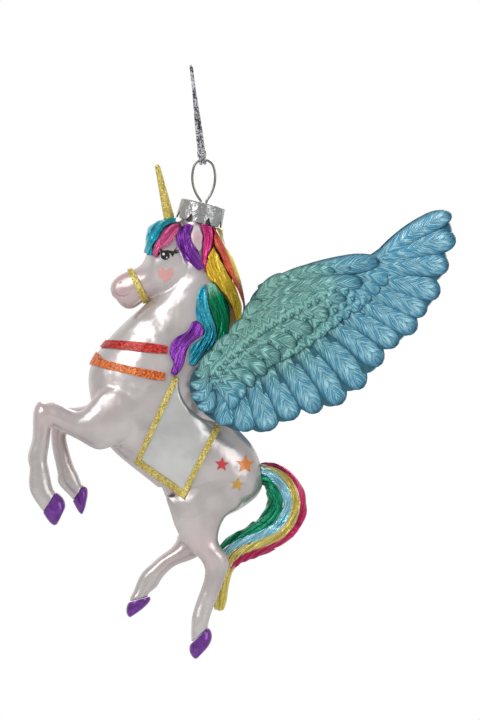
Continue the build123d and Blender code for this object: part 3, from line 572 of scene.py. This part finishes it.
def blown_glass():
    """The trunk, neck, head and legs as one skin, whose joins are drawn out as blown glass is."""
    joined = bmesh.new()
    for name in blown:
        part = nodes[name].data.copy()
        part.transform(nodes[name].matrix_world)
        joined.from_mesh(part)
        bpy.data.meshes.remove(part)
    for side in (-1, 1):
        place = Matrix.Translation(spot(*FILLER_PIXEL, side * FILLER_DEPTH)) @ Matrix.Diagonal((*FILLER_RADII, 1))
        bmesh.ops.create_icosphere(joined, subdivisions=3, radius=1.0, matrix=place)
    bmesh.ops.remove_doubles(joined, verts=joined.verts, dist=WELD)
    mesh = bpy.data.meshes.new("blown_glass")
    joined.to_mesh(mesh)
    joined.free()
    piece = bpy.data.objects.new("blown_glass", mesh)
    bpy.context.collection.objects.link(piece)
    remesh = piece.modifiers.new("remesh", "REMESH")
    remesh.mode = "VOXEL"
    remesh.voxel_size = VOXEL
    remesh.use_smooth_shade = True
    made = bpy.data.meshes.new_from_object(piece.evaluated_get(bpy.context.evaluated_depsgraph_get()))
    piece.modifiers.clear()
    shape = bmesh.new()
    shape.from_mesh(made)
    soften(shape, shape.verts, FIRST_SMOOTHING)
    hold_within(shape, 1, thigh_front)
    hold_within(shape, -1, thigh_back)
    flare_crest(shape)
    for x, y, reach, passes in joins:
        centre = spot(x, y)
        inside = [v for v in shape.verts if hypot(v.co.x - centre.x, v.co.z - centre.z) < reach * PIXEL]
        soften(shape, inside, passes)
    shape.to_mesh(made)
    shape.free()
    piece.data = made
    made.materials.clear()
    made.materials.append(materials["pearl"])
    for face in made.polygons:
        face.use_smooth = True
    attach(piece, "figure")
    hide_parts(*blown)
    return piece


glass = blown_glass()
skin = BVHTree.FromPolygons([v.co for v in glass.data.vertices], [tuple(p.vertices) for p in glass.data.polygons])

# Paint laid on the glass
PAINT_LIFT = 0.00008
LINE_LIFT = 0.00012
STAR_LIFT = 0.00015
GLINT_LIFT = 0.0002
PAINT_EDGE = 0.0005
RAY_START = 0.05
BESIDE_MIDDLE = 0.003


def paint(name, outline, material, lift=PAINT_LIFT, fan=None, thick=0.0):
    """A painted shape on both sides of the glass, from its outline or outlines in pixels.

    A star is drawn from its centre, the fan, because a plain fill loses its points.
    A shape with a thickness is a sheet of its own, and its pieces are returned, the left one first.
    """
    made = []
    outlines = [outline] if isinstance(outline[0][0], (int, float)) else outline
    for side, label in BOTH_SIDES:
        shape = bmesh.new()
        if fan is None:
            for ring in outlines:
                shape.faces.new([shape.verts.new(spot(x, y)) for x, y in ring])
            bmesh.ops.remove_doubles(shape, verts=shape.verts, dist=WELD)
        else:
            corners = [shape.verts.new(spot(x, y)) for x, y in outline]
            centre = shape.verts.new(spot(*fan))
            for first, second in zip(corners, corners[1:] + corners[:1]):
                shape.faces.new((centre, first, second))
        bmesh.ops.triangulate(shape, faces=shape.faces)
        for _ in range(4):
            wide = [e for e in shape.edges if e.calc_length() > PAINT_EDGE]
            if wide:
                bmesh.ops.subdivide_edges(shape, edges=wide, cuts=1)
                bmesh.ops.triangulate(shape, faces=shape.faces)
        for vertex in shape.verts:
            start = Vector((vertex.co.x, side * RAY_START, vertex.co.z))
            hit, _, _, _ = skin.ray_cast(start, Vector((0, -side, 0)))
            if hit is None:
                near_by, _, _, _ = skin.find_nearest(Vector((vertex.co.x, side * BESIDE_MIDDLE, vertex.co.z)))
                vertex.co = near_by + Vector((0, side * lift, 0))
            else:
                vertex.co = Vector((vertex.co.x, hit.y + side * lift, vertex.co.z))
        mesh = bpy.data.meshes.new(name + "_" + label)
        shape.normal_update()
        turned = [f for f in shape.faces if f.normal.y * side < 0]
        bmesh.ops.reverse_faces(shape, faces=turned)
        shape.to_mesh(mesh)
        shape.free()
        for face in mesh.polygons:
            face.use_smooth = True
        piece = new_object(name + "_" + label, mesh, material)
        if thick > 0:
            solid = piece.modifiers.new("thickness", "SOLIDIFY")
            solid.thickness = thick
            solid.offset = -1
        made.append(piece)
    return made


def star(x, y, radius, tilt):
    """The outline of a five-pointed star."""
    reaches = [radius if i % 2 == 0 else radius * 0.45 for i in range(10)]
    return [(x + r * sin(tilt + i * pi / 5), y - r * cos(tilt + i * pi / 5)) for i, r in enumerate(reaches)]


def ellipse(x, y, wide, tall, tilt=0.0, count=24):
    """The outline of an ellipse."""
    outline = []
    for t in (2 * pi * i / count for i in range(count)):
        right = wide * cos(t) * cos(tilt) - tall * sin(t) * sin(tilt)
        down = wide * cos(t) * sin(tilt) + tall * sin(t) * cos(tilt)
        outline.append((x + right, y + down))
    return outline


blanket = paint(
    "blanket",
    [(178.6, 379), (139, 461.6), (182, 492), (217, 425.6), (203, 418.6), (191.6, 410.6), (184, 400.6), (180, 391)],
    "silver_pearl", 0.0003, thick=0.0005,
)
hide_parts("saddle_blanket")
border = paint(
    "blanket_border",
    [
        [(174.6, 375.4), (179.6, 377.8), (140.6, 461), (134, 463.4)],
        [(134, 463.4), (140.6, 461), (182.4, 490), (183.6, 498.6)],
        [(183.6, 498.6), (182.4, 490), (216, 424.4), (221.4, 427)],
    ],
    "gold", 0.00075, thick=0.0009,
)
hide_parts("saddle_trim")

# Name, outline, material and lift of each painted shape
painted = (
    (
        "eye_lid",
        [
            (156, 258), (158.6, 253.6), (163, 250.8), (168, 250.4), (173.5, 251.4), (180.5, 249.4),
            (175, 253.6), (172.8, 257.2), (170.6, 253.8), (166, 252.4), (161, 254),
        ],
        "black", LINE_LIFT,
    ),
    ("eye", ellipse(165.4, 256, 4.6, 4.2), "black", PAINT_LIFT),
    ("eye_glint", ellipse(163.8, 254.4, 1.3, 1.3), "white", GLINT_LIFT),
    ("eye_glint_small", ellipse(167, 257.8, 0.7, 0.7), "white", GLINT_LIFT),
    ("lash_one", [(158.4, 254), (153.4, 251.6), (159.6, 252.4)], "black", LINE_LIFT),
    ("lash_two", [(161.4, 251.8), (158.6, 247.6), (163.4, 250.9)], "black", LINE_LIFT),
    ("lash_three", [(173.4, 251.6), (177.4, 246.8), (175.6, 251.6)], "black", LINE_LIFT),
    ("lash_four", [(175.6, 252.4), (182, 251.6), (175.4, 254.2)], "black", LINE_LIFT),
    (
        "cheek_heart",
        [
            (165.4, 283), (159.6, 277.4), (157.6, 273), (158.8, 269), (162, 267.6), (165, 269.8),
            (166.4, 272), (168.2, 269.4), (171.4, 268), (173.8, 270.4), (173.4, 274.6), (170.4, 279),
        ],
        "heart", PAINT_LIFT,
    ),
)
for name, outline, material, lift in painted:
    paint(name, outline, material, lift=lift)
for name, x, y, radius, tilt in (
    ("star_red", 222, 464, 7.4, 0.1), ("star_orange", 245.5, 464, 9.6, 0.05), ("star_gold", 237.5, 484, 6.8, 0.2),
):
    paint(name, star(x, y, radius, tilt), name, lift=STAR_LIFT, fan=(x, y))
paint("nostril", ellipse(120.4, 282.6, 2.4, 1.3, -0.5), "crease")
paint("mouth", [(113.6, 291.6), (118, 294.6), (124, 295.6), (130, 293.4), (124.4, 296.8), (118, 296)], "crease")


# Feathers over the cast wings
flight_tips = [
    (446, 217), (450, 240), (443.5, 266), (435, 293), (422, 311), (412, 329), (394, 343), (378, 362),
    (360, 385), (339, 401), (316, 409.5), (292, 417), (269, 428), (247, 429), (227, 424), (209, 412),
]
flight_roots = [
    (378, 262), (371, 267), (363, 273), (355, 280), (346, 287), (335, 295), (322, 303), (308, 311),
    (294, 319), (280, 327), (267, 335), (254, 344), (243, 353), (232, 362), (222, 371), (213, 380),
]
# Root, tip and width of each
shoulder_feathers = [
    ((214, 384), (236, 408), 17), ((211, 376), (246, 396), 18), ((214, 368), (256, 384), 18),
    ((222, 360), (268, 372), 18), ((228, 352), (282, 358), 19), ((236, 342), (298, 344), 19),
    ((241, 332), (314, 330), 19), ((246, 322), (330, 314), 20), ((250, 312), (347, 299), 20),
    ((254, 302), (363, 283), 20), ((260, 292), (379, 262), 21), ((272, 284), (352, 269), 15),
    ((248, 334), (262, 300), 15), ((232, 348), (252, 320), 15), ((214, 362), (240, 336), 15),
    ((202, 378), (224, 352), 15), ((258, 302), (290, 277), 14), ((290, 279), (336, 272), 12),
    ((210, 380), (194, 398), 15), ((208, 372), (193, 386), 14), ((210, 364), (197, 374), 13),
    ((212, 390), (201, 409), 15),
]


def surface(name):
    """The surface of a node, for rays."""
    matrix = nodes[name].matrix_world
    corners = [matrix @ v.co for v in nodes[name].data.vertices]
    return BVHTree.FromPolygons(corners, [tuple(p.vertices) for p in nodes[name].data.polygons])


def between(first, second, share):
    """The place at a share of the way from one place to another."""
    return (first[0] + (second[0] - first[0]) * share, first[1] + (second[1] - first[1]) * share)


def along_list(points, share):
    """The place at a share of the way along a list of places."""
    where = min(max(share, 0.0), 1.0) * (len(points) - 1)
    index = min(int(where), len(points) - 2)
    return between(points[index], points[index + 1], where - index)


def wing_plane(tree, start_depth, heading):
    """A plane on a face of a wing: y = a x + b z + c, and how far the face stands proud of it.

    Rays go from a depth along Y, heading 1 or -1, and the plane is the best fit to where they hit.
    """
    rows, depths = [], []
    for step in range(1, 15):
        root, tip = flight_roots[step], flight_tips[step]
        for share in (-0.1, 0.15, 0.4, 0.65, 0.85):
            place = spot(*between(root, tip, share))
            start = Vector((place.x, start_depth, place.z))
            hit, _, _, _ = tree.ray_cast(start, Vector((0, heading, 0)))
            if hit is not None:
                rows.append((hit.x, hit.z, 1.0))
                depths.append(hit.y)
    rows, depths = np.array(rows), np.array(depths)
    solved = np.linalg.lstsq(rows, depths, rcond=None)[0]
    rest = (rows @ solved - depths) * heading
    return solved, float(np.quantile(rest, 0.9))


ROWS, COLUMNS = 16, 9
FEATHER_END = 0.75
SHAFT_HEIGHT, SHAFT_WIDTH = 0.00022, 0.16
TUCKED_UNDER = -0.0004
TONE_CENTRE, TONE_START, TONE_REACH = (225, 300), 40, 150


class Plumage:
    """The feathers of one wing, in one mesh with the values that its material reads."""

    def __init__(self):
        self.corners, self.faces = [], []
        self.along, self.across, self.tones, self.edges = [], [], [], []

    def on_face(self, plane, normal):
        """Puts the next feathers on a face of the wing."""
        self.plane, self.normal = plane, normal

    def feather(self, root, tip, width, bend, lift, rise, height, curl=0.0):
        """One feather from root to tip in pixels, its width and bend in pixels and the rest in metres."""
        start, end = np.array(root, float), np.array(tip, float)
        axis = end - start
        length = hypot(*axis)
        axis = axis / length
        sideways = np.array([-axis[1], axis[0]])
        base = len(self.corners)
        for i in range(ROWS):
            t = 1 - (1 - i / (ROWS - 1)) ** 1.6
            middle = start + axis * length * t + sideways * bend * 4 * t * (1 - t)
            swell = 0.62 + 0.38 * sin(min(t / 0.62, 1.0) * pi / 2)
            if t > FEATHER_END:
                swell = (max(0.0, 1 - ((t - FEATHER_END) / (1 - FEATHER_END)) ** 2.4)) ** 0.5
            for j in range(COLUMNS):
                a = 2 * j / (COLUMNS - 1) - 1
                place = middle + sideways * a * width / 2 * max(swell, 0.02)
                flat = spot(*place)
                depth = self.plane[0] * flat.x + self.plane[1] * flat.z + self.plane[2]
                shaft = SHAFT_HEIGHT * exp(-((a / SHAFT_WIDTH) ** 2)) * (1 - 0.7 * t)
                bulge = height * (1 - a * a) + shaft
                if i in (0, ROWS - 1) or j in (0, COLUMNS - 1):
                    bulge = TUCKED_UNDER
                proud = lift + rise * t + curl * a + bulge
                self.corners.append(Vector((flat.x, depth, flat.z)) + self.normal * proud)
                self.along.append(t * length * PIXEL)
                self.across.append(a * width * PIXEL / 2)
                away = hypot(place[0] - TONE_CENTRE[0], (place[1] - TONE_CENTRE[1]) * 1.35)
                self.tones.append(min(1.0, max(0.0, away - TONE_START) / TONE_REACH))
                self.edges.append(max(abs(a), max(0.0, t - 0.8) / 0.2))
        for i in range(ROWS - 1):
            for j in range(COLUMNS - 1):
                first = base + i * COLUMNS + j
                self.faces.append((first, first + 1, first + COLUMNS + 1, first + COLUMNS))

    def flight_feathers(self, ground):
        """The long feathers whose tips make the wing's outline."""
        for i, (root, tip) in enumerate(zip(flight_roots, flight_tips)):
            self.feather(
                between(root, tip, -0.05), between(root, tip, 1.035), 20 if i == 0 else 28,
                -5 if i < 10 else -2, ground - 0.0003 - 0.00004 * (i % 2), 0.0002, 0.00045, 0.0004,
            )

    def coverts(self, ground):
        """The middle feathers, which cover the roots of the long ones."""
        count = 16
        for i in range(count):
            share = 0.16 + 0.84 * (i + 0.5) / count
            root, tip = along_list(flight_roots, share), along_list(flight_tips, share)
            end = between(root, tip, 0.4 - 0.08 * share)
            self.feather(between(root, tip, -0.08), end, 17, -4, ground, 0.0004, 0.00045, 0.0003)

    def small_feathers(self, ground):
        """Four rows of short feathers, each over the one further out."""
        count, reach_back = 17, 22
        for row, reach in enumerate((0.34, 0.22, 0.1, -0.02)):
            for i in range(count):
                share = 0.3 + 0.7 * (i + 0.5 * (row % 2)) / count
                root, tip = along_list(flight_roots, share), along_list(flight_tips, share)
                end = between(root, tip, reach)
                length = hypot(tip[0] - root[0], tip[1] - root[1])
                start = (
                    end[0] - (tip[0] - root[0]) * reach_back / length,
                    end[1] - (tip[1] - root[1]) * reach_back / length,
                )
                self.feather(start, end, 19, -1, ground + 0.0003 + 0.00026 * row, 0.0004, 0.0002)

    def top_feathers(self, ground):
        """The feathers along the leading edge and round the shoulder."""
        for i, (root, tip, width) in enumerate(shoulder_feathers):
            self.feather(root, tip, width, -5, ground + 0.0006 + 0.00003 * i, 0.0003, 0.0005, -0.0003)

    def mesh(self, name):
        """The mesh of all the feathers."""
        made = bpy.data.meshes.new(name)
        made.from_pydata([tuple(c) for c in self.corners], [], self.faces)
        values = {"along": self.along, "across": self.across, "tone": self.tones, "edge": self.edges}
        for key, numbers in values.items():
            attribute = made.attributes.new(key, "FLOAT", "POINT")
            attribute.data.foreach_set("value", np.array(numbers, np.float32))
        for face in made.polygons:
            face.use_smooth = True
        return made


for outward, label in BOTH_SIDES:
    node = "wing_" + label
    wing_skin = surface(node)
    plumage = Plumage()
    for start_depth, heading in ((0.2 * outward, -outward), (0.0, outward)):
        plane, proud = wing_plane(wing_skin, start_depth, heading)
        normal = Vector((-plane[0], 1, -plane[1])).normalized()
        if normal.y * heading > 0:
            normal.negate()
        ground = max(proud, 0.0)
        plumage.on_face(plane, normal)
        plumage.flight_feathers(ground)
        plumage.coverts(ground)
        plumage.small_feathers(ground)
        plumage.top_feathers(ground)
    mesh = plumage.mesh("feathers_" + label)
    new_object("feathers_" + label, mesh, "feathers")
    # The cast wing under the feathers takes the deep blue enamel, painted shade for the gaps between feathers
    dress(node, "wing_core_shade")


# Floor, world and lamps
FLOOR_HEIGHT = -0.26
floor_mesh = bpy.data.meshes.new("floor")
floor_corners = [(x, y, FLOOR_HEIGHT) for x, y in ((-1.2, -1.2), (1.2, -1.2), (1.2, 1.2), (-1.2, 1.2))]
floor_mesh.from_pydata(floor_corners, [], [(0, 1, 2, 3)])
floor = bpy.data.objects.new("floor", floor_mesh)
bpy.context.collection.objects.link(floor)
floor_shade = Shade("floor_pale", Base_Color=(0.86, 0.86, 0.86, 1), Roughness=0.7)
floor_mesh.materials.append(floor_shade.material)

# What the camera, glass and metal see is a pale backdrop. What lights the object is soft and leans to the key
world = bpy.data.worlds.new("studio")
bpy.context.scene.world = world
world.use_nodes = True
world_tree = world.node_tree
world_tree.nodes.clear()
paths = world_tree.nodes.new("ShaderNodeLightPath")
output = world_tree.nodes.new("ShaderNodeOutputWorld")
shown = world_tree.nodes.new("ShaderNodeMath")
shown.operation = "MAXIMUM"
world_tree.links.new(paths.outputs["Is Camera Ray"], shown.inputs[0])
glossy = world_tree.nodes.new("ShaderNodeMath")
glossy.operation = "MAXIMUM"
world_tree.links.new(paths.outputs["Is Transmission Ray"], glossy.inputs[0])
world_tree.links.new(paths.outputs["Is Glossy Ray"], glossy.inputs[1])
world_tree.links.new(glossy.outputs[0], shown.inputs[1])
coordinates = world_tree.nodes.new("ShaderNodeTexCoord")
lean = world_tree.nodes.new("ShaderNodeVectorMath")
lean.operation = "DOT_PRODUCT"
lean.inputs[1].default_value = (-0.12, -0.34, 0.3)
world_tree.links.new(coordinates.outputs["Generated"], lean.inputs[0])
ramp = world_tree.nodes.new("ShaderNodeMapRange")
ramp.inputs["From Min"].default_value = -0.45
ramp.inputs["From Max"].default_value = 0.45
ramp.inputs["To Min"].default_value = 0.03
ramp.inputs["To Max"].default_value = 0.98
world_tree.links.new(lean.outputs["Value"], ramp.inputs["Value"])
soft = world_tree.nodes.new("ShaderNodeBackground")
world_tree.links.new(ramp.outputs["Result"], soft.inputs["Color"])
soft.inputs["Strength"].default_value = 0.7
white = world_tree.nodes.new("ShaderNodeBackground")
behind = world_tree.nodes.new("ShaderNodeSeparateXYZ")
world_tree.links.new(coordinates.outputs["Generated"], behind.inputs[0])
backdrop = world_tree.nodes.new("ShaderNodeValToRGB")
world_tree.links.new(behind.outputs["Y"], backdrop.inputs[0])
for element, (position, level) in zip(backdrop.color_ramp.elements, ((0.0, 0.5), (0.6, 1.0))):
    element.position = position
    element.color = (level, level, level, 1)
world_tree.links.new(backdrop.outputs["Color"], white.inputs["Color"])
white.inputs["Strength"].default_value = 1.0
choice = world_tree.nodes.new("ShaderNodeMixShader")
world_tree.links.new(shown.outputs[0], choice.inputs[0])
world_tree.links.new(soft.outputs[0], choice.inputs[1])
world_tree.links.new(white.outputs[0], choice.inputs[2])
world_tree.links.new(choice.outputs[0], output.inputs["Surface"])


LAMP_SIZE = 0.5
LAMP_TARGET = (0.004, 0, -0.085)


def softbox(name, place, power):
    """A square area lamp that faces the object."""
    lamp = bpy.data.lights.new(name, "AREA")
    lamp.size = LAMP_SIZE
    lamp.energy = power
    piece = bpy.data.objects.new(name, lamp)
    bpy.context.collection.objects.link(piece)
    piece.location = place
    piece.rotation_euler = (Vector(LAMP_TARGET) - Vector(place)).to_track_quat("-Z", "Y").to_euler()


softbox("key", (-0.55, -0.7, 0.5), 3.3)
softbox("fill", (0.8, -0.7, 0.1), 1.6)
softbox("back", (0.3, 0.8, 0.4), 2.5)
bpy.context.scene.view_settings.view_transform = "Standard"
